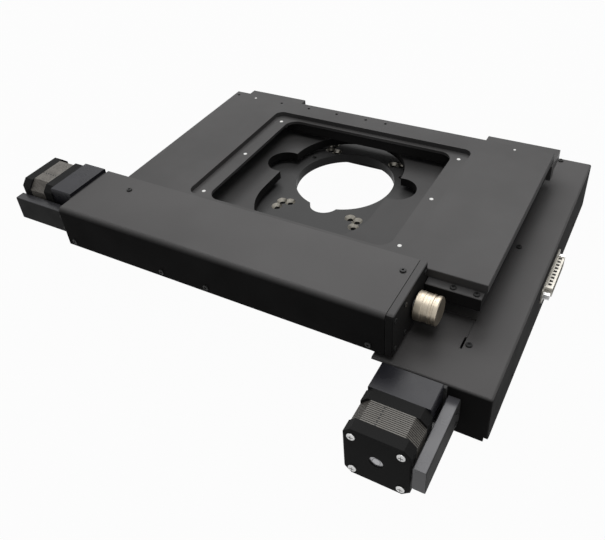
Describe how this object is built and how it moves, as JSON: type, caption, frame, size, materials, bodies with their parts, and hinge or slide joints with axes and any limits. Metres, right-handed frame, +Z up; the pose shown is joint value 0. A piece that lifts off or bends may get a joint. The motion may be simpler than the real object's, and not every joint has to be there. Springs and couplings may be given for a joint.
{
  "type": "motorized xy stage",
  "caption": "Motorized two-axis microscope stage with stacked black plates, round light aperture, insert recess, covered lead screws, stepper motors and hand knob.",
  "frame": {"origin": "centre of the light aperture on the base plate's underside, where the microscope carries the stage", "axes": "+X right along the front drive housing, +Y back along the right drive bay, +Z up through the aperture"},
  "size_m": [0.4027, 0.3342, 0.081],
  "materials": {
    "black_anodised": "satin",
    "black_sheet": "satin",
    "motor_cap": "satin",
    "motor_steel": "matte",
    "gloss_black": "gloss",
    "ground_steel": "ground",
    "screw_steel": "bright",
    "black_screw": "satin",
    "bare_aluminium": "satin",
    "bronze": "satin",
    "rubber_black": "matte",
    "tinned_steel": "bright",
    "connector_plastic": "matte",
    "knob_nickel": "bead blasted",
    "white_plastic": "matte"
  },
  "bodies": {
    "base": {"base_plate": "black_anodised", "base_bars": "black_anodised", "y_rails_fixed": "ground_steel", "y_drive_tray": "black_anodised", "y_bearing_blocks": "black_anodised", "y_bearings": "ground_steel", "y_drive_cover": "black_sheet", "y_cover_panel": "black_sheet", "y_cover_screws": "black_screw", "connector_shell": "tinned_steel", "connector_insert": "connector_plastic", "connector_hex_posts": "screw_steel", "y_motor_rear_cap": "motor_cap", "y_motor_bearing": "ground_steel", "y_motor_laminations": "motor_steel", "y_motor_front_cap": "motor_cap", "y_motor_screws": "screw_steel", "y_motor_block": "gloss_black", "y_motor_gasket": "rubber_black", "y_side_bar": "gloss_black", "y_side_bar_screws": "black_screw"},
    "y_screw": {"y_motor_shaft": "ground_steel", "y_coupling": "bare_aluminium", "y_lead_screw": "ground_steel"},
    "y_cages": {"y_roller_cages": "ground_steel", "y_rollers": "ground_steel"},
    "y_carriage": {"carriage_plate": "black_anodised", "back_beam": "black_anodised", "side_beam": "black_anodised", "ledge_screws": "black_screw", "y_rails_moving": "ground_steel", "x_rails_fixed": "ground_steel", "y_nut_bracket": "black_anodised", "y_nut": "bronze", "x_bearing_blocks": "black_anodised", "x_bearings": "ground_steel", "x_drive_cover": "black_sheet", "x_cover_screws": "black_screw", "x_end_plate": "black_sheet", "x_end_plate_screws": "black_screw", "x_motor_rear_cap": "motor_cap", "x_motor_bearing": "ground_steel", "x_motor_laminations": "motor_steel", "x_motor_front_cap": "motor_cap", "x_motor_screws": "screw_steel", "x_motor_block": "gloss_black", "x_motor_gasket": "rubber_black", "x_side_bar": "gloss_black", "x_side_bar_screws": "black_screw"},
    "x_screw": {"x_motor_shaft": "ground_steel", "x_coupling": "bare_aluminium", "x_lead_screw": "ground_steel", "x_knob": "knob_nickel"},
    "x_cages": {"x_roller_cages": "ground_steel", "x_rollers": "ground_steel"},
    "x_carriage": {"top_plate": "black_anodised", "ledge_pads": "white_plastic", "x_rails_moving": "ground_steel", "x_nut_bracket": "black_anodised", "x_nut": "bronze"}
  },
  "joints": [
    {"name": "y_travel", "type": "slide", "parent": "base", "child": "y_carriage", "axis": [0, 1, 0], "range_m": [-0.0035, 0.0715]},
    {"name": "x_travel", "type": "slide", "parent": "y_carriage", "child": "x_carriage", "axis": [1, 0, 0], "range_m": [-0.0637, 0.0503]},
    {"name": "y_screw_turn", "type": "hinge", "parent": "base", "child": "y_screw", "pos_m": [0.134, -0.2, -0.01], "axis": [0, 1, 0], "continuous": true},
    {"name": "x_screw_turn", "type": "hinge", "parent": "y_carriage", "child": "x_screw", "pos_m": [0, -0.1357, 0.0278], "axis": [1, 0, 0], "continuous": true},
    {"name": "y_cage_travel", "type": "slide", "parent": "base", "child": "y_cages", "axis": [0, 1, 0], "range_m": [-0.00175, 0.03575]},
    {"name": "x_cage_travel", "type": "slide", "parent": "y_carriage", "child": "x_cages", "axis": [1, 0, 0], "range_m": [-0.03185, 0.02515]}
  ],
  "couplings": [
    {"joint": "y_screw_turn", "follows": "y_travel", "rad_per_m": -1256.6},
    {"joint": "x_screw_turn", "follows": "x_travel", "rad_per_m": -1256.6},
    {"joint": "y_cage_travel", "follows": "y_travel", "ratio": 0.5},
    {"joint": "x_cage_travel", "follows": "x_travel", "ratio": 0.5}
  ]
}
